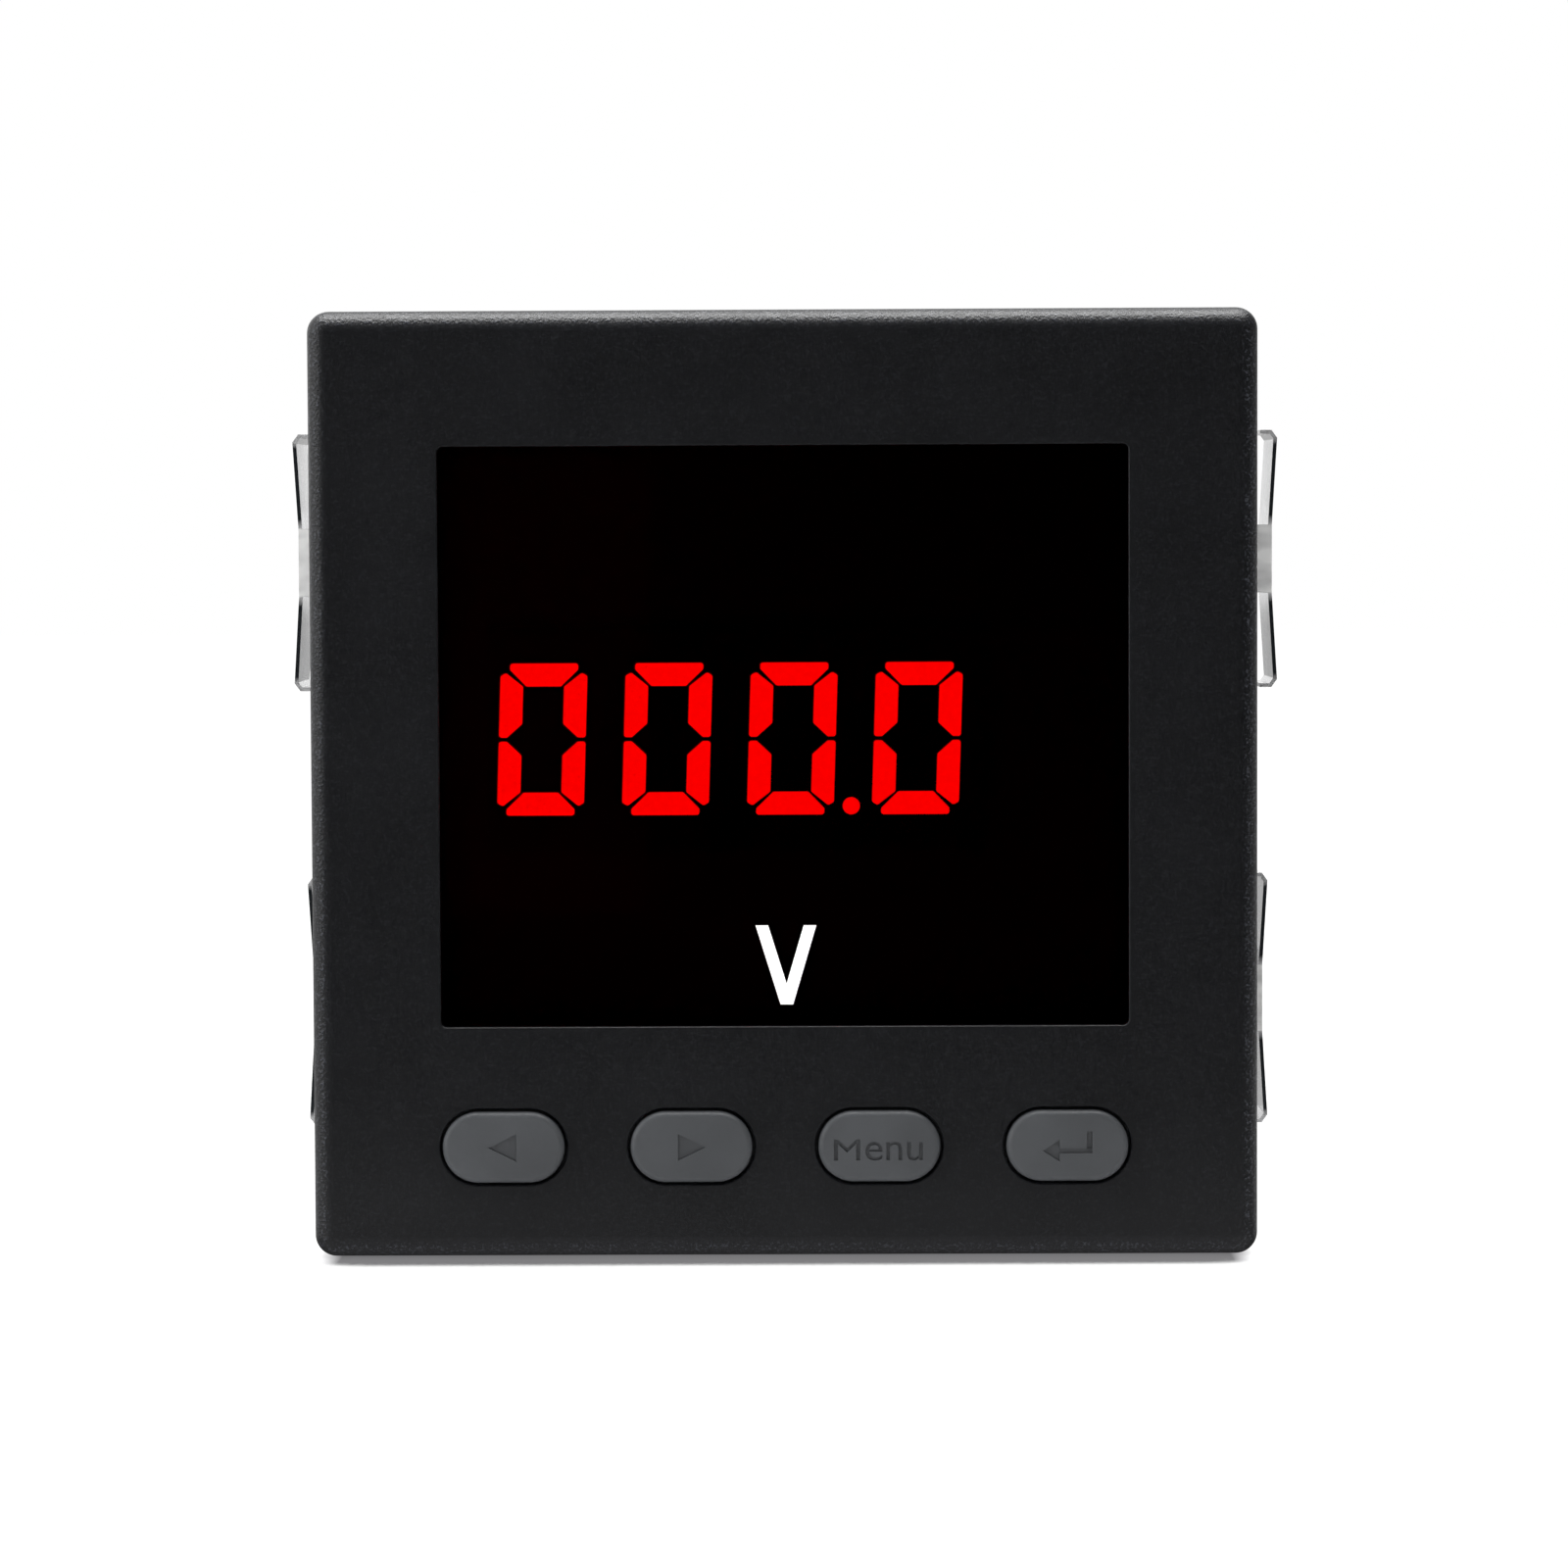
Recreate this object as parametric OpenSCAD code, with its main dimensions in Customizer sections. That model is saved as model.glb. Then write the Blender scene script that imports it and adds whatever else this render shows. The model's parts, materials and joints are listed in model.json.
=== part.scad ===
// Digital panel meter: a 96 mm square voltmeter with four digits and four keys.
// Frame: the origin is the middle of the bezel's rear seating face, where the panel lies.
// +X is to the right seen from the front, +Y goes back into the panel and +Z is up. Millimetres.

/* [Bezel] */
// Side of the square bezel
bezel_size = 96; // [90:0.5:102]
// Depth of the bezel in front of the panel
bezel_depth = 10; // [7:0.5:16]
// Radius of the bezel's four corners
bezel_corner = 2.2; // [1.6:0.1:5]
// Radius round the front edge
bezel_round = 1.5; // [0.5:0.1:1.6]
// Thickness of the front wall
face_wall = 2.4; // [1.6:0.1:3.5]

/* [Window] */
// Border of the face at each side of the window
window_side = 13.15; // [11:0.05:18]
// Border of the face above the window
window_top = 13.7; // [11.5:0.1:18]
// Border of the face below the window, where the keys are
window_bottom = 23.55; // [22:0.05:28]
// Radius of the window's corners
window_corner = 0.6; // [0.3:0.1:3]
// How far the lens lies behind the front face
lens_recess = 0.35; // [0:0.05:1]
// Thickness of the lens flange behind the wall
lens_flange_t = 1.2; // [0.8:0.1:1.4]

/* [Keys] */
// Length of a key cap
key_w = 12.35; // [10:0.05:14]
// Height of a key cap
key_h = 7.2; // [5:0.05:9]
// Distance from key to key
key_pitch = 19.05; // [16.5:0.05:20]
// Height of the keys' middle above the bezel's lower edge
key_rise = 11.35; // [9.5:0.05:12.5]
// How far a key stands out of the face
key_proud = 0.8; // [0.2:0.05:2]
// Travel of a key
key_travel = 0.45; // [0.2:0.05:0.5]
// Gap round a key in its hole
key_gap = 0.3; // [0.2:0.025:0.6]

/* [Display] */
// Height of a digit
digit_h = 15.5; // [12:0.1:17]
// Width of a digit
digit_w = 8.85; // [7:0.05:10]
// Distance from digit to digit
digit_pitch = 12.72; // [11:0.01:14]
// Thickness of a segment
segment_t = 2.35; // [1.2:0.05:2.8]
// Gap between two segments
segment_gap = 0.3; // [0.15:0.05:0.6]
// Cut at the outer corners of a digit
segment_cut = 0.95; // [0.5:0.05:1.4]
// Radius of a segment's corners
segment_soft = 0.3; // [0.1:0.05:0.4]
// Lean of the digits, in degrees
digit_lean = 1.9; // [0:0.1:12]
// Shift of the display to the left of the window's middle
display_left = 4.7; // [0:0.1:8]
// Drop of the display below the window's middle
display_drop = 0.35; // [-5:0.05:9]

/* [Housing] */
// Overlap of the bezel beyond each side of the housing
bezel_overlap = 3; // [2.6:0.1:4]
// Depth of the housing behind the panel
case_depth = 61.5; // [55:0.5:80]
// Wall of the housing
case_wall = 2; // [1.5:0.1:3]
// Width of one vent slot
vent_w = 2; // [1:0.1:3]
// Distance from vent slot to vent slot
vent_pitch = 5; // [4:0.5:8]

/* [Terminals] */
// Distance from pole to pole
pole_pitch = 9.5; // [8:0.1:9.8]
// Depth of the terminal blocks behind the housing
block_proud = 8.5; // [4:0.5:14]
// Height of each terminal block
block_h = 15; // [12:0.5:17]

/* [Clips] */
// Thickness of the clip sheet
sheet = 0.4; // [0.3:0.05:0.6]
// Height of the upper clips' middle
clip_top_z = 22.5; // [18:0.1:28]
// Height of the lower clips' middle
clip_low_z = -25.2; // [-28:0.1:-18]
// Place of the upper clips' front edge behind the panel's front
clip_top_y = 15; // [2:0.5:30]
// Place of the lower clips' front edge
clip_low_y = 26; // [2:0.5:30]
// Reach of the wings from end to end
wing_span = 27.2; // [22:0.1:30]
// Reach of the clips' flanges beyond the side of the housing
wing_reach = 6.55; // [5:0.05:9]
// Outward flare of each wing's end
wing_flare = 0.55; // [0:0.05:2]

/* [Hidden] */
$fn = 48;
grey_black = [0.13, 0.13, 0.14];
key_grey = [0.33, 0.34, 0.35];
board_green = [0.05, 0.3, 0.16];
steel = [0.75, 0.76, 0.78];
slide_gap = 0.3;      // clearance of pieces that slide
seat_gap = 0.1;       // clearance of pieces that drop in
screw_gap = 0.05;     // clearance round a screw's thread
bezel_r = bezel_size / 2;
front_y = -bezel_depth;
window_w = bezel_size - 2 * window_side;
window_h = bezel_size - window_top - window_bottom;
window_z = (window_bottom - window_top) / 2;
key_z = key_rise - bezel_size / 2;
display_x = -display_left;
display_z = window_z - display_drop;
case_size = bezel_size - 2 * bezel_overlap;
wing_x = case_size / 2 + wing_reach;
wall_y = front_y + face_wall;
case_r = case_size / 2;
case_corner = 2;
rib_w = 2;
rib_long = 9;
rib_at = case_r - 9;
cutout_spare = 0.75;
mouth_r = case_r + cutout_spare + seat_gap;
case_in = case_r - case_wall;
pocket_r = case_r + slide_gap;
mouth_t = 1.2;
neck_y = -5;
lug_w = 8;
lug_t = 0.7;
lug_h = 2;
lug_y = -3.6;
lug_x = case_r - 19;
lens_step_w = window_w - 2 * seat_gap;
lens_step_h = window_h - 2 * seat_gap;
lens_rim = 2.5;
lens_back = wall_y + lens_flange_t;
key_flange_rim = 0.95;
key_flange_t = 0.8;
key_flange_y = wall_y + 0.5;
key_skirt = wall_y + 0.5;
key_crown = 0.35;
key_stem_r = 2;
board_t = 1.6;
board_y = 2;
board_r = case_in - 1;
switch_body = 6;
switch_h = 3.5;
plunger_r = 1.75;
plunger_top = -2.2;
plunger_end = -0.6;
plunger_well = 0.5;
boss_at = case_in - 3.9;
boss_r = 2.75;
screw_r = 1.1;
screw_head_r = 2.1;
screw_head_t = 1.4;
screw_long = 7;
module_w = 4 * digit_pitch;
module_h = digit_h + 7.3;
module_y = lens_back + 0.15;
pour_depth = 2;
shell_t = 1.2;
post_w = 8.6;
post_at = case_in - post_w / 2 + case_wall / 4;
rear_board_y = case_depth - 5.5;
cover_t = 2;
cover_y = case_depth - cover_t;
cover_r = case_in - slide_gap;
cover_screw_at = case_in - 4.6;

cover_screw_r = 1.4;
cover_head_r = 2.7;
cover_head_t = 1.8;
cover_screw_long = 14;
spacer_r = 3;
block_end = 1.1;
block_edge = 2;
block_z = cover_screw_at - spacer_r - slide_gap - block_h / 2;
block_y = rear_board_y + board_t;
block_back = case_depth + block_proud;
pole_wall = 1.1;
pole_floor = block_back - 6;
plate_t = 0.8;
plate_w = pole_pitch - pole_wall - 0.4;
plate_h = 9;
leg_t = 1;
leg_at = 5.2;
leg_out = 0.6;
pole_screw_r = 1.75;
pole_head_r = 3.2;
pole_head_t = 2.2;
washer_t = 1;
washer_w = 6.8;
base_w = 14.4;
base_long = 26;
neck_half = 3.6;
channel_lip = 1;
channel_floor = case_r - channel_lip - 2 * slide_gap - sheet;
channel_open = base_w / 2 - 1.2;
channel_wide = base_w / 2 + slide_gap;
channel_front = 1.5;
channel_pad = 1.6;
cover_notch_x = channel_floor - channel_pad - slide_gap;
cover_notch_h = channel_wide + channel_pad + slide_gap;
board_half_x = channel_floor - channel_pad - slide_gap;
tooth_pitch = 2;
poles = floor((2 * (cover_notch_x - block_edge) - block_end) / pole_pitch);
block_w = poles * pole_pitch + block_end;
tooth_depth = 0.6;
tooth_w = 4;
wing_deep = 11;
curl_in = 1.6;
curl_z = 0.5;
pawl_w = 4;
pawl_slot = 6;
pawl_long = 11;
core_w = 34;
core_h = 28;
core_stack = 17;
core_limb = 6;
core_x = -17;
core_z = 0;
bobbin_wall = 1;
core_y = rear_board_y - core_h - 3;

// ---- helpers -------------------------------------------------------------

module slab(y0, y1) {
    translate([0, y1, 0])
        rotate([90, 0, 0])
            linear_extrude(y1 - y0)
                children();
}

module soft_rect(w, h, r) {
    square([w - 2 * r, h], center = true);
    square([w, h - 2 * r], center = true);
    for (sx = [-1, 1], sz = [-1, 1])
        translate([sx * (w / 2 - r), sz * (h / 2 - r)])
            circle(r);
}

module oblong(w, h) {
    square([w - h, h], center = true);
    for (sx = [-1, 1])
        translate([sx * (w - h) / 2, 0])
            circle(h / 2);
}

module four(at) {
    for (sx = [-1, 1], sz = [-1, 1])
        translate([sx * at, sz * at])
            children();
}

module frame2d(outer, inner) {
    difference() {
        square(outer, center = true);
        square(inner, center = true);
    }
}

// a ribbon of sheet of thickness t along the points p, mitred at each bend
function unit(v) = v / norm(v);
function side(v) = [-v[1], v[0]];
function mitre(p, i) =
    i == 0 ? side(unit(p[1] - p[0])) :
    i == len(p) - 1 ? side(unit(p[i] - p[i - 1])) :
    let (a = side(unit(p[i] - p[i - 1])), b = side(unit(p[i + 1] - p[i])))
        (a + b) / (1 + a * b);
function ribbon(p, t) = concat(
    [for (i = [0 : len(p) - 1]) p[i] + mitre(p, i) * t / 2],
    [for (i = [len(p) - 1 : -1 : 0]) p[i] - mitre(p, i) * t / 2]);

// ---- front ---------------------------------------------------------------

module round_front(long) {
    // profile across the bezel with its two front edges rounded
    linear_extrude(long, center = true)
        union() {
            translate([-bezel_r, front_y + bezel_round])
                square([bezel_size, bezel_depth - bezel_round]);
            translate([-bezel_r + bezel_round, front_y])
                square([bezel_size - 2 * bezel_round, bezel_depth]);
            for (sx = [-1, 1])
                translate([sx * (bezel_r - bezel_round), front_y + bezel_round])
                    circle(bezel_round);
        }
}

module bezel_block() {
    intersection() {
        round_front(bezel_size + 2);
        rotate([0, 90, 0])
            round_front(bezel_size + 2);
        slab(front_y - 1, 0)
            soft_rect(bezel_size, bezel_size, bezel_corner);
    }
}

module bezel() {
    color(grey_black)
        difference() {
            union() {
                difference() {
                    bezel_block();
                    slab(wall_y, 1)
                        soft_rect(2 * pocket_r, 2 * pocket_r, case_corner);
                    // wider mouth that clears the housing's centring ribs
                    slab(-mouth_t, 1)
                        soft_rect(2 * mouth_r, 2 * mouth_r, case_corner);
                }
                slab(wall_y - 0.5, board_y)
                    four(boss_at)
                        circle(boss_r);
                key_guides();
            }
            slab(front_y - 1, wall_y + 1)
                translate([0, window_z])
                    soft_rect(window_w, window_h, window_corner);
            for (i = [0 : 3])
                slab(front_y - 1, wall_y + 4)
                    translate([key_x(i), key_z])
                        oblong(key_w + 2 * key_gap, key_h + 2 * key_gap);
            slab(board_y - screw_long, board_y + 1)
                four(boss_at)
                    circle(screw_r + screw_gap);
            for (sz = [-1, 1], sx = [-1, 1])
                translate([sx * lug_x, lug_y + lug_h / 2, sz * (pocket_r + lug_t / 2)])
                    cube([lug_w + 1, lug_h + 0.6, lug_t + 1], center = true);
        }
}

module key_guides() {
    // a bar above the keys ties the wall and stiffens the face
    translate([-bezel_r + 8, wall_y - 0.5, key_z + key_h / 2 + 2])
        cube([bezel_size - 16, 2.5, 1.2]);
}

module window_lens() {
    color([0.09, 0.02, 0.02])
        union() {
            slab(front_y + lens_recess, wall_y + 0.5)
                translate([0, window_z])
                    soft_rect(lens_step_w, lens_step_h, window_corner - seat_gap / 2);
            slab(wall_y, lens_back)
                translate([0, window_z])
                    square([window_w + 2 * lens_rim, window_h + 2 * lens_rim], center = true);
        }
}

function key_x(i) = (i - 1.5) * key_pitch;

// chamfered top of an oblong, standing on z = 0
module crown(w, h, c) {
    for (sx = [-1, 1])
        translate([sx * (w - h) / 2, 0, 0])
            cylinder(r1 = h / 2, r2 = h / 2 - c, h = c);
    rotate([90, 0, 90])
        linear_extrude(w - h, center = true)
            polygon([[-h / 2, 0], [h / 2, 0], [h / 2 - c, c], [c - h / 2, c]]);
}

module key_cap(i) {
    color(key_grey)
        translate([key_x(i), 0, key_z])
            union() {
                slab(front_y - key_proud + key_crown, key_skirt + seat_gap)
                    oblong(key_w, key_h);
                translate([0, front_y - key_proud + key_crown, 0])
                    rotate([90, 0, 0])
                        crown(key_w, key_h, key_crown);
                slab(key_flange_y, key_flange_y + key_flange_t)
                    oblong(key_w + 2 * key_flange_rim, key_h + 2 * key_flange_rim);
                slab(key_flange_y, plunger_top)
                    circle(key_stem_r);
            }
}

module plunger(i) {
    color([0.08, 0.08, 0.08])
        translate([key_x(i), 0, key_z])
            slab(plunger_top, plunger_end)
                circle(plunger_r);
}

module key_left() { key_cap(0); }
module key_right() { key_cap(1); }
module key_menu() { key_cap(2); }
module key_enter() { key_cap(3); }
module plunger_left() { plunger(0); }
module plunger_right() { plunger(1); }
module plunger_menu() { plunger(2); }
module plunger_enter() { plunger(3); }

module switch_bodies() {
    color([0.2, 0.2, 0.2])
        for (i = [0 : 3])
            translate([key_x(i), 0, key_z])
                difference() {
                    slab(board_y - switch_h, board_y)
                        square(switch_body, center = true);
                    slab(board_y - switch_h - 1, plunger_well)
                        circle(plunger_r + slide_gap);
                }
}

module display_board() {
    color(board_green)
        slab(board_y, board_y + board_t)
            difference() {
                square([2 * board_half_x, 2 * board_r], center = true);
                four(boss_at)
                    circle(screw_r + 2 * screw_gap);
                pin_places()
                    square(pin_t + 2 * seat_gap, center = true);
            }
}

module board_screws() {
    color(steel)
        four_screws(boss_at, board_y + board_t, screw_r, screw_long, screw_head_r, screw_head_t);
}

module four_screws(at, y, r, long, head_r, head_t) {
    slab(y, y + head_t)
        four(at)
            circle(head_r);
    slab(y - long, y + head_t / 2)
        four(at)
            circle(r);
}

// ---- display -------------------------------------------------------------

function lean(p) = [p[0] + (p[1] - digit_h / 2) * tan(digit_lean), p[1]];
digit_mid = digit_h / 2;
end_gap = segment_gap * 0.65;
nose = segment_t * 0.35;

function bar_side(top) = [
    [0, top - segment_cut * 1.35],
    [segment_cut * 0.6, top - segment_cut],
    [segment_t, top - segment_t],
    [segment_t, digit_mid + segment_t * 0.68],
    [nose, digit_mid + end_gap],
    [0, digit_mid + end_gap]];
function bar_top() = [
    [segment_cut, digit_h],
    [digit_w - segment_cut, digit_h],
    [digit_w - segment_cut, digit_h - segment_cut + segment_gap],
    [digit_w - segment_t - segment_gap, digit_h - segment_t],
    [segment_t + segment_gap, digit_h - segment_t],
    [segment_cut, digit_h - segment_cut + segment_gap]];
function bar_mid() = [
    [segment_t / 2 + end_gap, digit_mid],
    [segment_t + end_gap, digit_mid + segment_t / 2],
    [digit_w - segment_t - end_gap, digit_mid + segment_t / 2],
    [digit_w - segment_t / 2 - end_gap, digit_mid],
    [digit_w - segment_t - end_gap, digit_mid - segment_t / 2],
    [segment_t + end_gap, digit_mid - segment_t / 2]];
function flip_x(q) = [for (p = q) [digit_w - p[0], p[1]]];
function flip_z(q) = [for (p = q) [p[0], digit_h - p[1]]];
function leant(q) = [for (p = q) lean(p)];

module at_digit(i) {
    x0 = display_x + (i - 2) * digit_pitch + (digit_pitch - digit_w) / 2 - 0.8;
    translate([x0, display_z - digit_h / 2])
        children();
}

module bar(q) {
    offset(r = segment_soft)
        offset(delta = -segment_soft)
            polygon(leant(q));
}

module zero_bars() {
    bar(bar_top());
    bar(flip_z(bar_top()));
    bar(bar_side(digit_h));
    bar(flip_x(bar_side(digit_h)));
    bar(flip_z(bar_side(digit_h)));
    bar(flip_x(flip_z(bar_side(digit_h))));
}

point_r = 0.88;

module point() {
    translate([digit_w + 1.55, point_r])
        circle(point_r);
}

module lit_shape() {
    for (i = [0 : 3])
        at_digit(i)
            zero_bars();
    at_digit(2)
        point();
}

module unlit_shape() {
    for (i = [0 : 3])
        at_digit(i)
            bar(bar_mid());
    for (i = [0, 1, 3])
        at_digit(i)
            point();
}

module display_module() {
    color([0.05, 0.05, 0.05])
        difference() {
            slab(module_y, board_y)
                translate([display_x, display_z])
                    square([module_w, module_h], center = true);
            slab(module_y - 1, module_y + pour_depth) {
                lit_shape();
                unlit_shape();
            }
            // hollow back of the module's shell over the circuit side
            slab(module_y + pour_depth + shell_t, board_y + 1)
                translate([display_x, display_z])
                    square([module_w - 2 * shell_t, module_h - 2 * shell_t], center = true);
        }
}

module lit_segments() {
    color([1, 0.02, 0.01])
        slab(module_y, module_y + pour_depth)
            lit_shape();
}

module unlit_segments() {
    color([0.25, 0.03, 0.03])
        slab(module_y, module_y + pour_depth)
            unlit_shape();
}

pin_t = 0.5;
pin_pitch = 2.54;
pin_rows = 16;
pin_out = 1.2;
pin_count = 12;

module pin_places() {
    for (i = [0 : pin_count / 2 - 1], sz = [-1, 1])
        translate([display_x + (i - (pin_count / 2 - 1) / 2) * pin_pitch, display_z + sz * pin_rows / 2])
            children();
}

module module_pins() {
    color(steel)
        slab(module_y + pour_depth + shell_t, board_y + board_t + pin_out)
            pin_places()
                square(pin_t, center = true);
}

module chip(x, y, z, w, h, t) {
    translate([x - w / 2, y, z - h / 2])
        cube([w, t, h]);
}

chips_z = -22;
processor_x = -22;
processor_w = 12;
processor_t = 1.5;
driver_x = 4;
driver_w = 10;
driver_h = 7.5;
driver_t = 1.8;
crystal_x = -8;
crystal_w = 9;
crystal_h = 4;
crystal_t = 3.5;

module processor_chip() {
    color([0.08, 0.08, 0.09])
        chip(processor_x, board_y + board_t, chips_z, processor_w, processor_w, processor_t);
}

module driver_chip() {
    color([0.08, 0.08, 0.09])
        chip(driver_x, board_y + board_t, chips_z, driver_w, driver_h, driver_t);
}

module crystal_can() {
    color(steel)
        slab(board_y + board_t, board_y + board_t + crystal_t)
            translate([crystal_x, chips_z])
                rotate(90)
                    oblong(crystal_w, crystal_h);
}

// ---- wiring between the boards -------------------------------------------

header_x = 24;
header_z = 12;
header_w = 22;
header_h = 5;
header_t = 6;
ribbon_w = 18;
ribbon_t = 0.9;

module front_header() {
    color([0.1, 0.1, 0.1])
        chip(header_x, board_y + board_t, header_z, header_w, header_h, header_t);
}

module rear_header() {
    color([0.1, 0.1, 0.1])
        chip(header_x, rear_board_y - header_t, -header_z, header_w, header_h, header_t);
}

module ribbon_cable() {
    y0 = board_y + board_t + header_t;
    y1 = rear_board_y - header_t;
    mid = (y0 + y1) / 2;
    path = [[y0, header_z], [y0 + 6, header_z], [y0 + 9, header_z - 1.5], [mid, 0],
        [y1 - 9, 1.5 - header_z], [y1 - 6, -header_z], [y1, -header_z]];
    color([0.6, 0.6, 0.62])
        translate([header_x - ribbon_w / 2, 0, 0])
            rotate([90, 0, 90])
                linear_extrude(ribbon_w)
                    polygon(ribbon(path, ribbon_t));
}

// ---- housing -------------------------------------------------------------

// a T-shaped channel for one clip, cut along the housing's right side
module channel_cut() {
    long = case_depth - channel_front + 1;
    translate([channel_floor, channel_front, -channel_wide])
        cube([2 * slide_gap + sheet, long, 2 * channel_wide]);
    translate([channel_floor, channel_front, -channel_open])
        cube([case_wall + 3, long, 2 * channel_open]);
}

module channel_body() {
    h = channel_wide + channel_pad;
    translate([channel_floor - channel_pad, channel_front - channel_pad, -h])
        cube([case_r - case_wall / 2 - channel_floor + channel_pad,
            case_depth - channel_front + channel_pad, 2 * h]);
}

// ratchet teeth sunk in the channel's floor
module rack_cut() {
    count = floor((case_depth - 8) / tooth_pitch);
    y0 = channel_front + 3;
    crest = channel_floor + slide_gap / 2;
    valley = channel_floor - tooth_depth;
    teeth = [for (i = [0 : count - 1]) each [
        [valley, y0 + i * tooth_pitch],
        [channel_floor, y0 + (i + 0.8) * tooth_pitch],
        [channel_floor, y0 + (i + 1) * tooth_pitch]]];
    translate([0, 0, -tooth_w / 2])
        linear_extrude(tooth_w)
            polygon(concat(teeth, [[crest, y0 + count * tooth_pitch], [crest, y0]]));
}

// places children at the four clip channels
module channels() {
    for (m = [0, 1], z = [clip_top_z, clip_low_z])
        mirror([m, 0, 0])
            translate([0, 0, z])
                children();
}

module housing() {
    color(grey_black)
        difference() {
            union() {
                difference() {
                    slab(neck_y, case_depth)
                        soft_rect(case_size, case_size, case_corner);
                    slab(neck_y - 1, case_depth + 1)
                        square(2 * case_in, center = true);
                }
                slab(case_depth - 24, rear_board_y)
                    four(post_at)
                        square(post_w, center = true);
                channels()
                    channel_body();
                for (sz = [-1, 1], sx = [-1, 1])
                    translate([sx * lug_x, lug_y + lug_h / 2, sz * (case_r + lug_t / 2 - 0.25)])
                        cube([lug_w, lug_h, lug_t + 0.5], center = true);
                centring_ribs();
            }
            channels() {
                channel_cut();
                rack_cut();
            }
            slab(case_depth - 26, case_depth + 1)
                four(cover_screw_at)
                    circle(cover_screw_r + screw_gap);
            vents();
        }
}

// ribs behind the bezel that centre the housing in the panel's cut-out
module centring_ribs() {
    for (turn = [0 : 90 : 270], at = [-rib_at, rib_at])
        rotate([0, turn, 0])
            translate([at - rib_w / 2, seat_gap, case_r - rib_w / 2])
                linear_extrude(rib_w / 2 + cutout_spare)
                    square([rib_w, rib_long]);
}

module vents() {
    for (i = [-6 : 6])
        translate([i * vent_pitch - vent_w / 2, case_depth - 32, -case_size])
            cube([vent_w, 18, 2 * case_size]);
}

module rear_cover() {
    color(grey_black)
        difference() {
            union() {
                slab(cover_y, cover_y + cover_t)
                    square(2 * cover_r, center = true);
                slab(rear_board_y + board_t, cover_y + 0.5)
                    four(cover_screw_at)
                        circle(spacer_r);
            }
            slab(rear_board_y, case_depth + 1)
                four(cover_screw_at)
                    circle(cover_screw_r + 2 * seat_gap);
            for (sz = [-1, 1])
                slab(cover_y - 1, case_depth + 1)
                    translate([0, sz * block_z])
                        square([block_w + 2 * seat_gap, block_h + 2 * seat_gap], center = true);
            for (i = [-7 : 7])
                slab(cover_y - 1, case_depth + 1)
                    translate([i * vent_pitch, 0])
                        square([vent_w, 26], center = true);
            // notches for the backs of the clip channels
            for (sx = [-1, 1], z = [clip_top_z, clip_low_z])
                translate([sx * (cover_notch_x + case_in) / 2, case_depth, z])
                    cube([case_in - cover_notch_x, 3 * cover_t, 2 * cover_notch_h], center = true);
        }
}

module cover_screws() {
    color(steel)
        four_screws(cover_screw_at, case_depth, cover_screw_r, cover_screw_long,
            cover_head_r, cover_head_t);
}

module rear_board() {
    color(board_green)
        slab(rear_board_y, rear_board_y + board_t)
            difference() {
                square([2 * board_half_x, 2 * board_r], center = true);
                four(cover_screw_at)
                    circle(cover_screw_r + 2 * seat_gap);
                for (sz = [-1, 1], i = [0 : poles - 1])
                    translate([pole_x(i), sz * (block_z - leg_at)])
                        square(leg_t + 2 * seat_gap, center = true);
            }
}

// ---- power supply --------------------------------------------------------

module core_frame() {
    limb_gap = (core_w - 4 * core_limb) / 2;
    difference() {
        square([core_w, core_h], center = true);
        for (sx = [-1, 1])
            translate([sx * (core_limb + limb_gap / 2), 0])
                square([limb_gap, core_h - 2 * core_limb], center = true);
    }
}

module transformer_core() {
    color([0.35, 0.36, 0.38])
        translate([core_x, core_y + core_h / 2, core_z - core_stack / 2])
            linear_extrude(core_stack)
                core_frame();
}

module transformer_bobbin() {
    long = core_h - 2 * core_limb - 2 * seat_gap;
    color([0.85, 0.83, 0.75])
        translate([core_x, core_y + core_h / 2, core_z])
            difference() {
                union() {
                    bobbin_flange(-long / 2);
                    bobbin_flange(long / 2 - bobbin_wall);
                    rotate([90, 0, 0])
                        linear_extrude(long, center = true)
                            square([2 * core_limb + 2.4, core_stack + 2.4], center = true);
                    // feet that stand on the board
                    for (sz = [-1, 1])
                        translate([-8, long / 2 - 1, sz * (core_stack / 2 + 4.5) - 1.5])
                            cube([16, core_limb + 3 + 2 * seat_gap / 2 + 1, 3]);
                }
                rotate([90, 0, 0])
                    linear_extrude(long + 4, center = true)
                        square([2 * core_limb + 0.2, core_stack + 0.2], center = true);
            }
}

module bobbin_flange(y) {
    translate([0, y + bobbin_wall, 0])
        rotate([90, 0, 0])
            linear_extrude(bobbin_wall)
                square([core_w - 2 * core_limb - 0.4, core_stack + 12], center = true);
}

module transformer_winding() {
    long = core_h - 2 * core_limb - 2 * seat_gap - 2 * bobbin_wall;
    color([0.7, 0.45, 0.1])
        translate([core_x, core_y + core_h / 2, core_z])
            rotate([90, 0, 0])
                linear_extrude(long, center = true)
                    difference() {
                        soft_rect(core_w - 2 * core_limb - 1.4, core_stack + 10, 3);
                        square([2 * core_limb + 2.4, core_stack + 2.4], center = true);
                    }
}

power_x = 14;
capacitor_r = 5;
capacitor_long = 20;
capacitor_z = 4;
capacitor_pitch = 12;

module capacitors() {
    color([0.1, 0.12, 0.3])
        for (i = [0 : 1])
            slab(rear_board_y - capacitor_long, rear_board_y)
                translate([power_x, capacitor_z + i * capacitor_pitch])
                    circle(capacitor_r);
}

resistor_r = 1.5;
resistor_long = 9;
resistor_z = -27;
resistor_up = resistor_r + 1.2;
resistor_pitch = 7;
lead_t = 0.6;
function resistor_x(i) = -30 + i * resistor_pitch;

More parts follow.
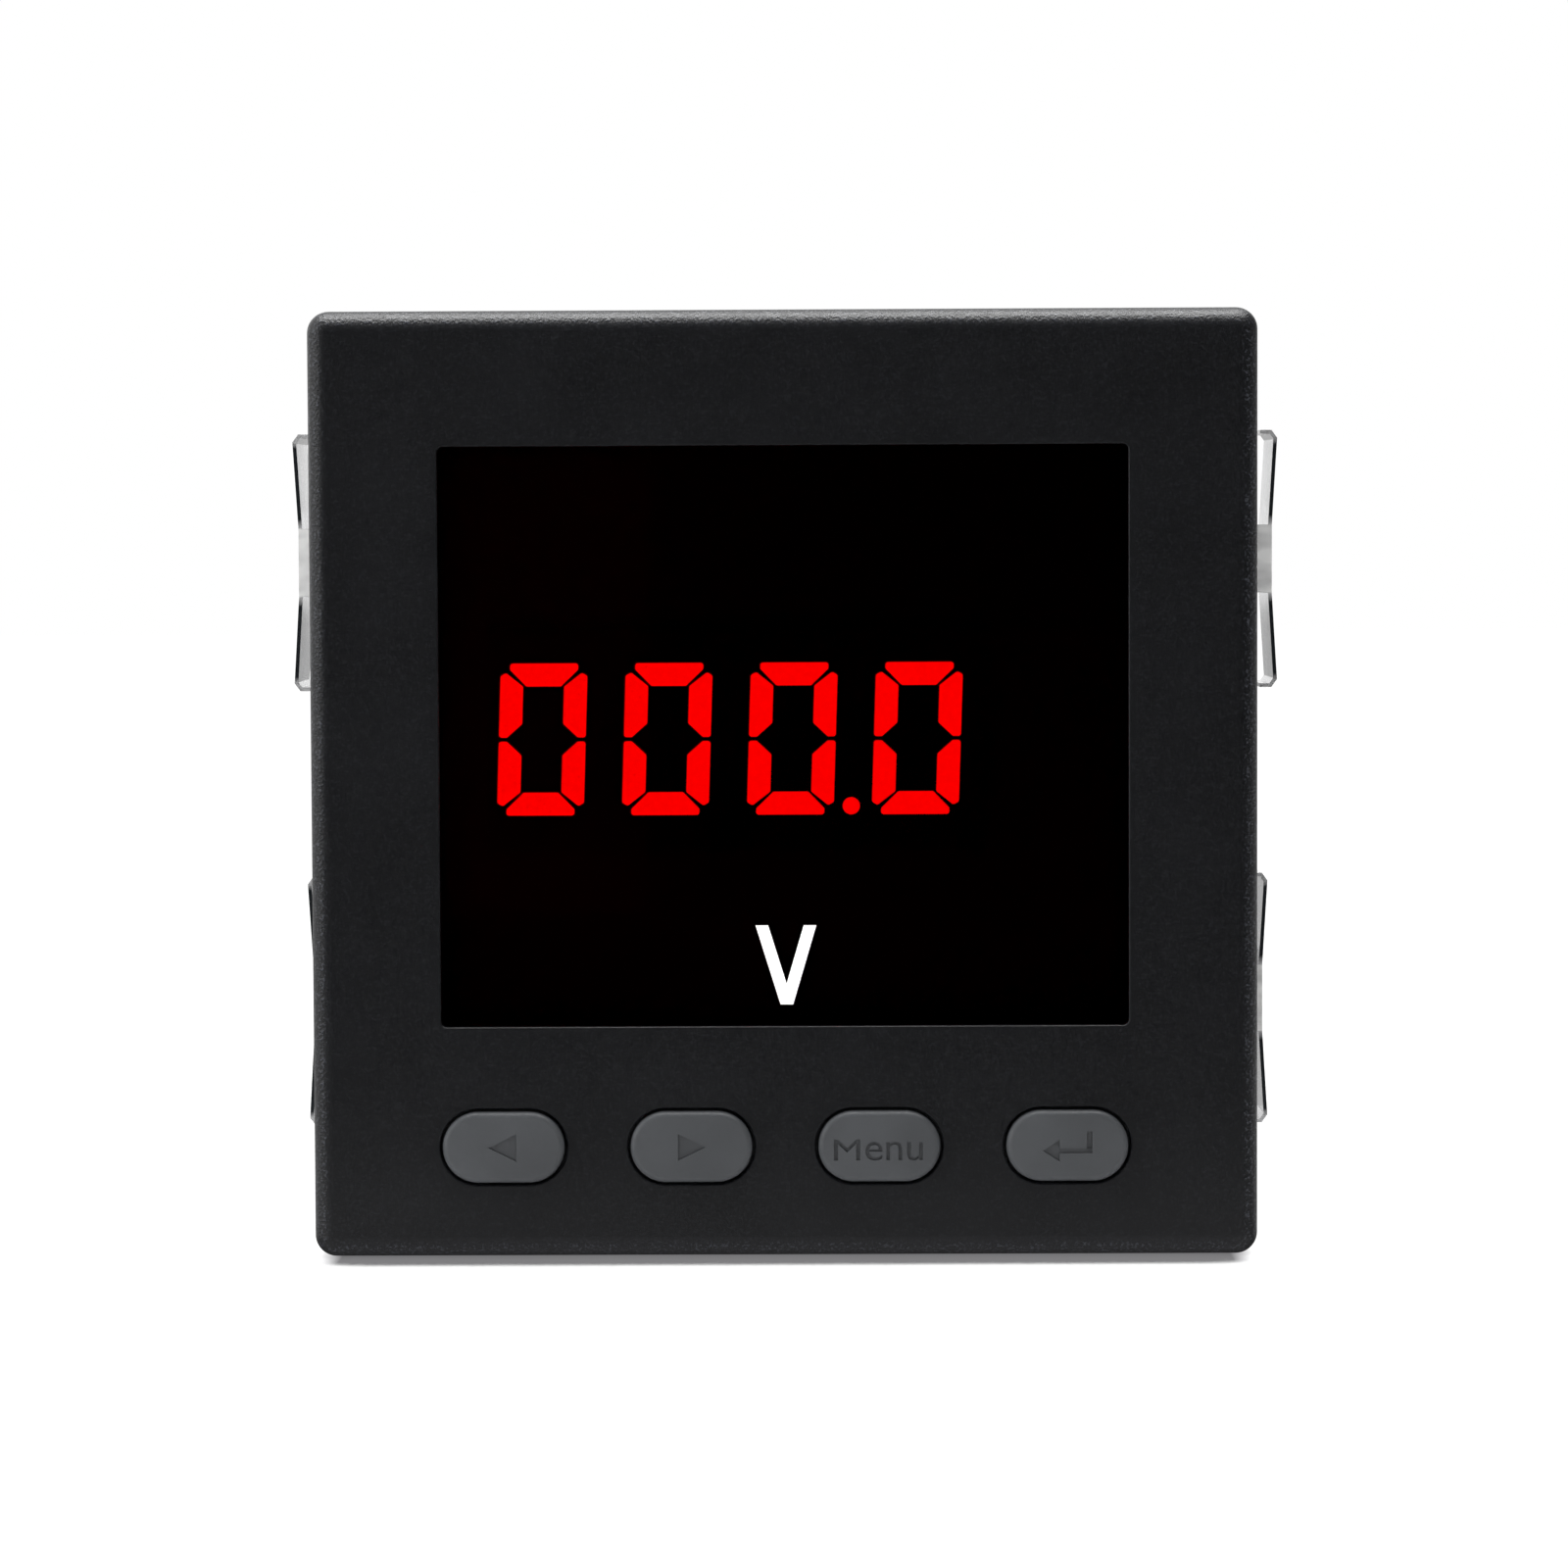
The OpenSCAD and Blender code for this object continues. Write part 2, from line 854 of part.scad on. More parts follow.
module input_resistors() {
    color([0.3, 0.5, 0.7])
        for (i = [0 : 3])
            translate([resistor_x(i), rear_board_y - resistor_up, resistor_z])
                cylinder(r = resistor_r, h = resistor_long);
    color(steel)
        for (i = [0 : 3], z = [resistor_z - lead_t * 2, resistor_z + resistor_long])
            translate([resistor_x(i) - lead_t / 2, rear_board_y - resistor_up, z])
                cube([lead_t, resistor_up, lead_t * 2]);
}

rectifier_w = 15;
rectifier_h = 4;
rectifier_deep = 8;
// clear of the poles' legs
rectifier_z = leg_at + leg_t - block_z + rectifier_h / 2;

module bridge_rectifier() {
    color([0.08, 0.08, 0.09])
        chip(power_x, rear_board_y - rectifier_deep, rectifier_z, rectifier_w, rectifier_h,
            rectifier_deep);
}

fuse_x = -16;
fuse_z = 18.4;

fuse_r = 2.5;
fuse_long = 20;
fuse_up = 5.5;

module fuse_tube() {
    color([0.8, 0.85, 0.85])
        translate([fuse_x - fuse_long / 2, rear_board_y - fuse_up, fuse_z])
            rotate([0, 90, 0])
                cylinder(r = fuse_r, h = fuse_long);
}

module fuse_clips() {
    color(steel)
        for (sx = [-1, 1])
            translate([fuse_x + sx * (fuse_long / 2 - fuse_r), rear_board_y, fuse_z])
                rotate([0, 90, 0])
                    linear_extrude(2 * fuse_r, center = true)
                        difference() {
                            translate([-fuse_r - 0.8, -fuse_up - 1.5])
                                square([2 * fuse_r + 1.6, fuse_up + 1.5]);
                            translate([0, -fuse_up])
                                circle(fuse_r + screw_gap);
                            translate([-fuse_r * 0.7, -fuse_up - 2])
                                square([fuse_r * 1.4, 2]);
                        }
}

// ---- terminals -----------------------------------------------------------

function pole_x(i) = (i - (poles - 1) / 2) * pole_pitch;

module terminal_block() {
    color([0.07, 0.07, 0.08])
        difference() {
            slab(block_y, block_back)
                square([block_w, block_h], center = true);
            for (i = [0 : poles - 1]) {
                translate([pole_x(i) - (pole_pitch - pole_wall) / 2, pole_floor, -block_h / 2 + 1.5])
                    cube([pole_pitch - pole_wall, 10, block_h]);
                slab(block_y + 1.5, pole_floor + 1)
                    translate([pole_x(i), 0.8])
                        circle(pole_screw_r + seat_gap);
                slab(block_y - 1, pole_floor + 1)
                    translate([pole_x(i), -leg_at])
                        square(leg_t + 2 * seat_gap, center = true);
            }
        }
}

module terminal_block_upper() {
    translate([0, 0, block_z])
        terminal_block();
}

module terminal_block_lower() {
    translate([0, 0, -block_z])
        mirror([0, 0, 1])
            terminal_block();
}

// places children at every pole of both blocks
module each_pole() {
    for (m = [0, 1])
        mirror([0, 0, m])
            for (i = [0 : poles - 1])
                translate([pole_x(i), 0, block_z])
                    children();
}

module terminal_plates() {
    color([0.8, 0.75, 0.55])
        each_pole()
            difference() {
                union() {
                    translate([-plate_w / 2, pole_floor, -block_h / 2 + 1.8])
                        cube([plate_w, plate_t, plate_h + 2]);
                    translate([-leg_t / 2, rear_board_y - leg_out, -leg_at - leg_t / 2])
                        cube([leg_t, pole_floor - rear_board_y + leg_out + plate_t / 2, leg_t]);
                }
                slab(pole_floor - 1, pole_floor + 2)
                    translate([0, 0.8])
                        circle(pole_screw_r + seat_gap);
            }
}

module terminal_washers() {
    color(steel)
        each_pole()
            slab(pole_floor + plate_t, pole_floor + plate_t + washer_t)
                translate([0, 0.8])
                    difference() {
                        square(washer_w, center = true);
                        circle(pole_screw_r + seat_gap);
                    }
}

module terminal_screws() {
    y0 = pole_floor + plate_t + washer_t;
    color(steel)
        each_pole() {
            slab(y0, y0 + pole_head_t)
                translate([0, 0.8])
                    circle(pole_head_r);
            slab(block_y + 2, y0 + 1)
                translate([0, 0.8])
                    circle(pole_screw_r);
        }
}

// ---- clips ---------------------------------------------------------------

// folded spring clip for the right side, its front edge at y = 0 and its middle at z = 0
module clip() {
    base_x = channel_floor + slide_gap;
    mid_x = wing_x - sheet / 2;
    end_z = wing_span / 2;
    wings = [[mid_x + wing_flare - curl_in, end_z - sheet / 2],
        [mid_x + wing_flare - 0.5, end_z - sheet / 2],
        [mid_x + wing_flare, end_z - curl_z - sheet],
        [mid_x, neck_half],
        [mid_x, -neck_half],
        [mid_x + wing_flare, -end_z + curl_z + sheet],
        [mid_x + wing_flare - 0.5, -end_z + sheet / 2],
        [mid_x + wing_flare - curl_in, -end_z + sheet / 2]];
    pawl_y = (base_long + pawl_long) / 2;
    pawl = [[pawl_y + 0.5, base_x + sheet / 2],
        [pawl_y - 3, base_x + sheet / 2],
        [pawl_y - pawl_long, base_x + sheet / 2 - slide_gap * 0.6]];
    union() {
        translate([0, wing_deep, 0])
            rotate([90, 0, 0])
                linear_extrude(wing_deep)
                    polygon(ribbon(wings, sheet));
        translate([base_x, 0, -neck_half])
            cube([wing_x - base_x - sheet / 2, sheet, 2 * neck_half]);
        difference() {
            translate([base_x, 0, -base_w / 2])
                cube([sheet, base_long, base_w]);
            translate([base_x - 1, pawl_y - pawl_long - 1, -pawl_slot / 2])
                cube([3, pawl_long + 1, pawl_slot]);
        }
        translate([0, 0, -pawl_w / 2])
            linear_extrude(pawl_w)
                polygon([for (p = ribbon(pawl, sheet)) [p[1], p[0]]]);
        // the turned-up tail used to push the clip home
        translate([base_x, base_long - sheet, -neck_half])
            cube([6, sheet, 2 * neck_half]);
    }
}

module clip_at(y, z) {
    color(steel)
        translate([0, y, z])
            clip();
}

module clip_upper_right() { clip_at(clip_top_y, clip_top_z); }
module clip_lower_right() { clip_at(clip_low_y, clip_low_z); }
module clip_upper_left() {
    mirror([1, 0, 0])
        clip_at(clip_top_y, clip_top_z);
}
module clip_lower_left() {
    mirror([1, 0, 0])
        clip_at(clip_low_y, clip_low_z);
}

bezel();
window_lens();
key_left();
key_right();
key_menu();
key_enter();
plunger_left();
plunger_right();
plunger_menu();
plunger_enter();
switch_bodies();
display_board();
board_screws();
display_module();
lit_segments();
unlit_segments();
module_pins();
processor_chip();
driver_chip();
crystal_can();
front_header();
rear_header();
ribbon_cable();
housing();
rear_cover();
cover_screws();
rear_board();
transformer_core();
transformer_bobbin();
transformer_winding();
capacitors();
input_resistors();
bridge_rectifier();
fuse_tube();
fuse_clips();
terminal_block_upper();
terminal_block_lower();
terminal_plates();
terminal_washers();
terminal_screws();
clip_upper_left();
clip_upper_right();
clip_lower_left();
clip_lower_right();
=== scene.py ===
"""Digital panel meter: the looks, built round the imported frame. Blender 4.5, metres."""

import json
import math

import bpy
from mathutils import Matrix, Vector


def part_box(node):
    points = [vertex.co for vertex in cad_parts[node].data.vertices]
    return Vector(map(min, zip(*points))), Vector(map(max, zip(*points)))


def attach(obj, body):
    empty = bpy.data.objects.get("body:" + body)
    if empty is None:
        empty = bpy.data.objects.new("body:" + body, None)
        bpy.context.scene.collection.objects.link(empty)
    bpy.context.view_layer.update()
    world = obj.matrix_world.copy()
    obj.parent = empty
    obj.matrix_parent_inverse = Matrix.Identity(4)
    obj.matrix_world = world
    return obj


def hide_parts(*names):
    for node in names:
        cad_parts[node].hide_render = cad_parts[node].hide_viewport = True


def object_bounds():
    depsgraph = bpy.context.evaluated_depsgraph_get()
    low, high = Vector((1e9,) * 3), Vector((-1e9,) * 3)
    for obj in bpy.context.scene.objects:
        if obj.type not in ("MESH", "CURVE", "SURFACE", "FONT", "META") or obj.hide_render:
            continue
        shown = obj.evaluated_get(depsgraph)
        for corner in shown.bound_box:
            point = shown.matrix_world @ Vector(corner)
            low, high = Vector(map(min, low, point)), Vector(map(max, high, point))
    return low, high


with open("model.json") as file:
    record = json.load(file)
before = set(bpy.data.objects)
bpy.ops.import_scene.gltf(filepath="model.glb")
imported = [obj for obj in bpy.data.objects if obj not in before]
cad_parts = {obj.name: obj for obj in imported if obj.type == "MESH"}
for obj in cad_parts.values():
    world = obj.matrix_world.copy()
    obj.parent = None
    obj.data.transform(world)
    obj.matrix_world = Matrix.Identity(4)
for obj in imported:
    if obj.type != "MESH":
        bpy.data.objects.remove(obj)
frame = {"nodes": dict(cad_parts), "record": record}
cad_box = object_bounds()

MM = 0.001
METER = "meter"
KEYS = ("left", "right", "menu", "enter")
CLIPS = ("upper_left", "upper_right", "lower_left", "lower_right")
SHARP = 35  # degrees from face to face, past which an edge is hard


# ---- shader maths --------------------------------------------------------


class Wire:
    """A socket whose arithmetic adds Math nodes."""

    def __init__(self, finish, socket):
        self.finish = finish
        self.socket = socket

    def __add__(self, other):
        return self.finish.maths("ADD", self, other)

    def __sub__(self, other):
        return self.finish.maths("SUBTRACT", self, other)

    def __rsub__(self, other):
        return self.finish.maths("SUBTRACT", other, self)

    def __mul__(self, other):
        return self.finish.maths("MULTIPLY", self, other)

    def __gt__(self, other):
        return self.finish.maths("GREATER_THAN", self, other)

    __radd__ = __add__
    __rmul__ = __mul__


class Finish:
    """The nodes of one material or world, and the helpers that patterns are made with."""

    def __init__(self, name, holder=None, output="ShaderNodeOutputMaterial"):
        self.material = holder or bpy.data.materials.new(name)
        self.material.use_nodes = True
        self.tree = self.material.node_tree
        self.tree.nodes.clear()
        self.output = self.tree.nodes.new(output)

    def maths(self, operation, *values):
        return self.node("ShaderNodeMath", {"operation": operation}, *values)

    def node(self, kind, settings, *values, out=0, **named):
        """Adds a node. Its inputs are given in their order, or by name with _ for a space."""
        made = self.tree.nodes.new(kind)
        for key, value in settings.items():
            setattr(made, key, value)
        for place, value in list(enumerate(values)) + list(named.items()):
            socket = made.inputs[place if isinstance(place, int) else place.replace("_", " ")]
            if isinstance(value, Wire):
                self.tree.links.new(value.socket, socket)
            else:
                socket.default_value = value
        return Wire(self, made.outputs[out])

    def place(self, scale=(1, 1, 1)):
        """The point's place on the part, in metres."""
        where = self.node("ShaderNodeTexCoord", {}, out="Object")
        return self.node("ShaderNodeMapping", {}, Vector=where, Scale=scale)

    def part_of_place(self, axis):
        return self.node("ShaderNodeSeparateXYZ", {}, self.place(), out=axis)

    def ray(self, kind):
        return self.node("ShaderNodeLightPath", {}, out=kind)

    def noise(self, size, detail=3.0, stretch=(1, 1, 1)):
        """Noise whose grains are about size across, in metres."""
        return self.node("ShaderNodeTexNoise", {}, Vector=self.place(stretch), Scale=1 / size,
                         Detail=detail, Roughness=0.55)

    def span(self, wire, low, high, to_low, to_high):
        """Carries low to high over to to_low to to_high, and holds the ends."""
        return self.node("ShaderNodeMapRange", {}, wire, low, high, to_low, to_high)

    def spread(self, noise):
        """Noise drawn out to reach from 0 to 1."""
        return self.span(noise, 0.3, 0.7, 0.0, 1.0)

    def blend(self, factor, first, second):
        made = self.tree.nodes.new("ShaderNodeMix")
        made.data_type = "RGBA"
        for place, value in ((0, factor), (6, first), (7, second)):
            if isinstance(value, Wire):
                self.tree.links.new(value.socket, made.inputs[place])
            else:
                made.inputs[place].default_value = value
        return Wire(self, made.outputs[2])

    def bump(self, height, distance):
        return self.node("ShaderNodeBump", {}, Strength=1.0, Distance=distance, Height=height)

    def surface(self, **named):
        body = self.node("ShaderNodeBsdfPrincipled", {}, **named)
        return self.ends_in(body)

    def ends_in(self, shader):
        self.tree.links.new(shader.socket, self.output.inputs["Surface"])
        return self.material


def rgba(red, green, blue):
    return (red, green, blue, 1.0)


def times(colour, share):
    return rgba(*(share * part for part in colour))


WHITE = rgba(1, 1, 1)
BLACK = rgba(0, 0, 0)


# ---- finishes ------------------------------------------------------------


def sunk_sign(f):
    """1 on the floors of the signs sunk in the keys, 0 on the keys' tops and rims."""
    under_top, reach_along_key, reach_up_key = 0.12 * MM, 4.9 * MM, 2.4 * MM
    low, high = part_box("key_left")
    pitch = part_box("key_right")[0].x - low.x
    aside = pitch / 2 - f.maths("PINGPONG", f.part_of_place("X"), pitch / 2)
    level = f.maths("ABSOLUTE", f.part_of_place("Z") - (low.z + high.z) / 2)
    return ((f.part_of_place("Y") > low.y + under_top) * (1 - (aside > reach_along_key))
            * (1 - (level > reach_up_key)))


def plastic(name, colour, rough, grain=0.25 * MM, depth=0.02 * MM, shine=0.5, face=None, signs=False):
    """Moulded plastic with a spark-eroded grain and a faint cloudiness. The grain is worn down on the
    front face, where face gives its place along Y; off it, grains are painted lighter as glints and made
    glossier. With signs, the floors of sunk signs are painted darker as shade."""
    clouding, glint_paint_lift, spark_gleam, sign_floor_shade = 0.12, 5.5, 0.1, 0.86
    f = Finish(name)
    tone = f.blend(f.spread(f.noise(9 * MM, 2.0)), times(colour, 1 - clouding), times(colour, 1 + clouding))
    grains = f.noise(grain, 2.0)
    if face is not None:
        off_face = f.span(f.part_of_place("Y"), face + 0.03 * MM, face + 0.25 * MM, 0.15, 1.0)
        # painted glints: off the front face, some grains get a lighter colour and a glossier surface
        painted_glints = f.span(grains, 0.54, 0.66, 0.0, 1.0) * off_face
        tone = f.blend(painted_glints, tone, times(colour, glint_paint_lift))
        rough = rough - painted_glints * spark_gleam
        grains = (grains - 0.5) * off_face
    if signs:
        # painted shade: the floors of the sunk signs are darkened, as shade in the recesses
        tone = f.blend(sunk_sign(f), tone, times(colour, sign_floor_shade))
    return f.surface(Base_Color=tone, Specular_IOR_Level=shine, Normal=f.bump(grains, depth),
                     Roughness=rough + f.span(f.noise(3 * grain, 2.0), 0.3, 0.7, -0.06, 0.06))


def metal(name, colour, rough, stretch=(1, 1, 1)):
    """Rolled or drawn metal with fine lines and small stains."""
    scratch, depth, stained = 0.2 * MM, 0.004 * MM, 0.82
    f = Finish(name)
    lines = f.noise(scratch, 3.0, stretch)
    stains = f.span(f.noise(4 * MM, 3.0), 0.35, 0.7, 0.0, 1.0)
    return f.surface(Base_Color=f.blend(stains, rgba(*colour), times(colour, stained)), Metallic=1.0,
                     Roughness=f.span(lines, 0.3, 0.7, rough - 0.07, rough + 0.1),
                     Normal=f.bump(lines, depth))


def clip_steel(name, node):
    """Bright spring strip. The neck is painted near white and made less metallic as a painted reflection,
    with streaks, and the wing's front edge is painted near black as shade.
    """
    wing_at = 51.13 * MM
    low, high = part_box(node)
    f = Finish(name)
    along = f.part_of_place("Y")
    off_neck = f.maths("ABSOLUTE", f.part_of_place("Z") - (low.z + high.z) / 2)
    # painted shade: a near-black line along the front edge of the wing
    edge = (1 - f.span(along, low.y + 0.05 * MM, low.y + 0.12 * MM, 0.0, 1.0))
    edge = edge * (f.maths("ABSOLUTE", f.part_of_place("X")) > wing_at)
    edge = edge * f.span(off_neck, 3.8 * MM, 4.6 * MM, 0.0, 1.0)
    edge = edge * f.span(off_neck, 12.1 * MM, 12.8 * MM, 1.0, 0.0)
    # painted reflection: the neck is painted near white and made less metallic, so it reads bright
    neck = f.span(off_neck, 3.5 * MM, 3.75 * MM, 1.0, 0.0)
    neck = neck * f.span(along, low.y + 0.3 * MM, low.y + 0.5 * MM, 1.0, 0.0)
    stains = f.span(f.noise(5 * MM, 2.0), 0.35, 0.7, 0.0, 1.0)
    streaks = f.span(f.noise(1.6 * MM, 1.0, (0.4, 1, 1)), 0.35, 0.65, 0.0, 1.0)
    rolled = f.blend(stains, rgba(0.86, 0.86, 0.87), rgba(0.78, 0.78, 0.79))
    # the neck's streaked colour, painted near white to stand in for its reflection
    drawn = f.blend(streaks, rgba(0.98, 0.98, 0.97), rgba(0.7, 0.7, 0.7))
    lines = f.noise(0.5 * MM, 2.0, (1, 6, 0.15))
    return f.surface(Base_Color=f.blend(edge, f.blend(neck, rolled, drawn), rgba(0.03, 0.035, 0.04)),
                     Metallic=0.6 - neck * 0.35, Roughness=f.span(lines, 0.3, 0.7, 0.12, 0.2),
                     Normal=f.bump(lines, 0.0006 * MM))


def lit_resin():
    """Lit segment: its own light, which the pieces round it don't catch."""
    f = Finish("lit_resin")
    glow = f.blend(f.spread(f.noise(0.5 * MM, 2.0)), rgba(1.0, 0.0, 0.0), rgba(0.93, 0.0, 0.0))
    glow = f.blend(f.span(f.ray("Diffuse Depth"), 0.0, 1.0, 0.0, 1.0), glow, BLACK)
    return f.surface(Base_Color=rgba(0.4, 0.005, 0.004), Roughness=0.6, Emission_Color=glow,
                     Emission_Strength=10)


def filter_glass():
    """Dark red display filter, polished, that only passes the lit segments' colour."""
    f = Finish("filter_glass")
    smear = f.noise(14 * MM, 2.0)
    return f.surface(Base_Color=rgba(0.1, 0.0003, 0.0002), Transmission_Weight=1.0, IOR=1.08,
                     Roughness=f.span(smear, 0.3, 0.7, 0.0, 0.015))


def clear_glass():
    """The fuse's tube."""
    f = Finish("clear_glass")
    smear = f.noise(3 * MM, 2.0)
    return f.surface(Base_Color=rgba(0.95, 0.97, 0.97), Transmission_Weight=1.0, IOR=1.45,
                     Roughness=f.span(smear, 0.3, 0.7, 0.0, 0.05))


def printed_white():
    """Screen-printed ink: matt, very slightly uneven, and given a faint glow of its own as painted light.
    """
    f = Finish("printed_white")
    ink = f.blend(f.spread(f.noise(0.3 * MM, 2.0)), rgba(0.95, 0.95, 0.95), rgba(0.88, 0.88, 0.88))
    # painted light: the ink glows a little, though it is no lamp
    return f.surface(Base_Color=ink, Roughness=0.6, Emission_Color=ink, Emission_Strength=0.35)


def circuit_board():
    """Green solder resist over tracks that run both ways."""
    f = Finish("circuit_board")
    across = f.noise(1.6 * MM, 0.0, (0.12, 1, 1))
    upward = f.noise(1.6 * MM, 0.0, (1, 1, 0.12))
    tracks = f.span((across > 0.56) + (upward > 0.6), 0.0, 1.0, 0.0, 1.0)
    resist = f.blend(tracks, rgba(0.006, 0.075, 0.03), rgba(0.015, 0.16, 0.06))
    return f.surface(Base_Color=resist, Roughness=0.3, Normal=f.bump(tracks, 0.03 * MM))


def flat_cable():
    """Ribbon cable with parallel cores."""
    f = Finish("flat_cable")
    cores = f.node("ShaderNodeTexWave", {"bands_direction": "X"}, Vector=f.place(), Scale=1 / (8 * MM))
    return f.surface(Base_Color=f.blend(cores, rgba(0.2, 0.2, 0.21), rgba(0.42, 0.42, 0.43)),
                     Roughness=0.5, Normal=f.bump(cores, 0.2 * MM))


def winding_tape():
    """Amber tape wound over copper turns."""
    f = Finish("winding_tape")
    turns = f.node("ShaderNodeTexWave", {"bands_direction": "Y"}, Vector=f.place(), Scale=1 / (6 * MM))
    return f.surface(Base_Color=f.blend(turns, rgba(0.45, 0.27, 0.03), rgba(0.62, 0.42, 0.06)),
                     Roughness=0.35, Normal=f.bump(turns, 0.05 * MM))


FINISHES = {
    # this finish paints light glints on the grains off the bezel's front face
    "case_black": plastic("case_black", (0.0063, 0.0067, 0.0082), 0.4, grain=0.3 * MM, depth=0.09 * MM,
                          face=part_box("bezel")[0].y),
    "lens_red": filter_glass(),
    # this finish paints shade on the floors of the keys' sunk signs
    "key_grey": plastic("key_grey", (0.0605, 0.064, 0.0695), 0.46, grain=0.18 * MM, depth=0.008 * MM,
                        signs=True),
    "switch_black": plastic("switch_black", (0.02, 0.02, 0.02), 0.5),
    "board": circuit_board(),
    "screw_steel": metal("screw_steel", (0.62, 0.62, 0.64), 0.3),
    "display_black": plastic("display_black", (0.004, 0.004, 0.004), 0.6, shine=0.2),
    "segment_lit": lit_resin(),
    "segment_dark": plastic("segment_dark", (0.01, 0.003, 0.003), 0.6, shine=0.2),
    "tinned_pin": metal("tinned_pin", (0.7, 0.7, 0.7), 0.35),
    "chip_black": plastic("chip_black", (0.02, 0.02, 0.02), 0.55),
    "ribbon_grey": flat_cable(),
    "core_steel": metal("core_steel", (0.2, 0.2, 0.21), 0.45, (1, 1, 8)),
    "bobbin_nylon": plastic("bobbin_nylon", (0.6, 0.57, 0.48), 0.5),
    "copper_wire": winding_tape(),
    "capacitor_sleeve": plastic("capacitor_sleeve", (0.015, 0.02, 0.09), 0.25),
    "resistor_blue": plastic("resistor_blue", (0.1, 0.25, 0.45), 0.4),
    "fuse_glass": clear_glass(),
    "terminal_black": plastic("terminal_black", (0.012, 0.012, 0.013), 0.42),
    "plate_brass": metal("plate_brass", (0.66, 0.6, 0.42), 0.3),
    "spring_steel": clip_steel("spring_steel", "clip_upper_left"),
    "spring_steel_lower": clip_steel("spring_steel_lower", "clip_lower_left"),
    "printed_white": printed_white(),
}

SLOT_OF = {part["node"]: part["material_slot"] for part in frame["record"]["subparts"]}
BODY_OF = {node: body for body, nodes in frame["record"]["behaviour"]["bodies"].items() for node in nodes}


# ---- modelling helpers, in millimetres ------------------------------------


def only(piece):
    """Selects the piece and nothing else."""
    bpy.ops.object.select_all(action="DESELECT")
    piece.select_set(True)
    bpy.context.view_layer.objects.active = piece


def settle(piece):
    """Puts the piece's place, turn and size into its mesh."""
    only(piece)
    bpy.ops.object.transform_apply(location=True, rotation=True, scale=True)
    return piece


def box_of(node):
    low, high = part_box(node)
    return low / MM, high / MM


def box_of_mesh(piece):
    """The two outer corners of a new piece, in metres."""
    corners = [corner.co for corner in piece.data.vertices]
    return (Vector([min(corner[axis] for corner in corners) for axis in range(3)]),
            Vector([max(corner[axis] for corner in corners) for axis in range(3)]))


def block(name, low, high):
    """A box from one corner to the other."""
    low, high = Vector(low) * MM, Vector(high) * MM
    bpy.ops.object.select_all(action="DESELECT")
    bpy.ops.mesh.primitive_cube_add(size=1, location=(low + high) / 2)
    piece = bpy.context.object
    piece.name = name
    piece.scale = high - low
    return settle(piece)


def round_bar(name, x, z, radius, low_y, high_y, sides):
    """A cylinder along Y."""
    bpy.ops.object.select_all(action="DESELECT")
    bpy.ops.mesh.primitive_cylinder_add(vertices=sides, radius=radius * MM, depth=(high_y - low_y) * MM)
    piece = bpy.context.object
    piece.name = name
    piece.rotation_euler = (-math.pi / 2, 0, 0)
    settle(piece)
    piece.rotation_euler = (0, math.pi / sides, 0)
    piece.location = Vector((x, (low_y + high_y) / 2, z)) * MM
    return settle(piece)


def shift_corners(piece, test, by):
    """Moves the corners that pass the test, in edit mode."""
    only(piece)
    bpy.ops.object.mode_set(mode="EDIT")
    bpy.ops.mesh.select_mode(type="VERT")
    bpy.ops.mesh.select_all(action="DESELECT")
    bpy.ops.object.mode_set(mode="OBJECT")
    for corner in piece.data.vertices:
        corner.select = test(corner.co / MM)
    bpy.ops.object.mode_set(mode="EDIT")
    bpy.ops.transform.translate(value=Vector(by) * MM)
    bpy.ops.object.mode_set(mode="OBJECT")
    return piece


def pill(name, x, z, half_w, half_h, low_y, high_y):
    """A round bar drawn out along X, so that its ends are half circles."""
    piece = round_bar(name, x, z, half_h, low_y, high_y, sides=64)
    stretch = half_w - half_h
    shift_corners(piece, lambda corner: corner.x > x + 0.01, (stretch, 0, 0))
    return shift_corners(piece, lambda corner: corner.x < x - 0.01, (-stretch, 0, 0))


def bevel(piece, test, width, segments):
    """Rounds the hard edges that pass the test, in edit mode."""
    only(piece)
    bpy.ops.object.mode_set(mode="EDIT")
    bpy.ops.mesh.select_mode(type="EDGE")
    bpy.ops.mesh.select_all(action="DESELECT")
    bpy.ops.mesh.edges_select_sharp(sharpness=math.radians(SHARP))
    bpy.ops.object.mode_set(mode="OBJECT")
    corners = piece.data.vertices
    for edge in piece.data.edges:
        edge.select = edge.select and test(*(corners[i].co / MM for i in edge.vertices))
    bpy.ops.object.mode_set(mode="EDIT")
    bpy.ops.mesh.bevel(offset=width * MM, segments=segments, affect="EDGES", clamp_overlap=False)
    bpy.ops.object.mode_set(mode="OBJECT")
    return piece


def runs_along_y(first, second):
    return abs(first.x - second.x) < 0.01 and abs(first.z - second.z) < 0.01


def lies_at_y(level):
    return lambda first, second: abs(first.y - level) < 0.01 and abs(second.y - level) < 0.01


def rounded_block(name, low, high, radius, segments):
    return bevel(block(name, low, high), runs_along_y, radius, segments)


def join_solid(piece, other, operation):
    """Adds or cuts the other solid, which is used up."""
    modifier = piece.modifiers.new("shape", "BOOLEAN")
    modifier.operation = operation
    modifier.solver = "EXACT"
    modifier.object = other
    only(piece)
    bpy.ops.object.modifier_apply(modifier=modifier.name)
    bpy.data.objects.remove(other)
    return piece


def soften(piece, width, segments):
    """A fine rounding along every hard edge, then smooth shading."""
    modifier = piece.modifiers.new("edges", "BEVEL")
    modifier.width = width * MM
    modifier.segments = segments
    modifier.limit_method = "ANGLE"
    modifier.angle_limit = math.radians(SHARP)
    only(piece)
    bpy.ops.object.modifier_apply(modifier=modifier.name)
    return smooth(piece, 40)


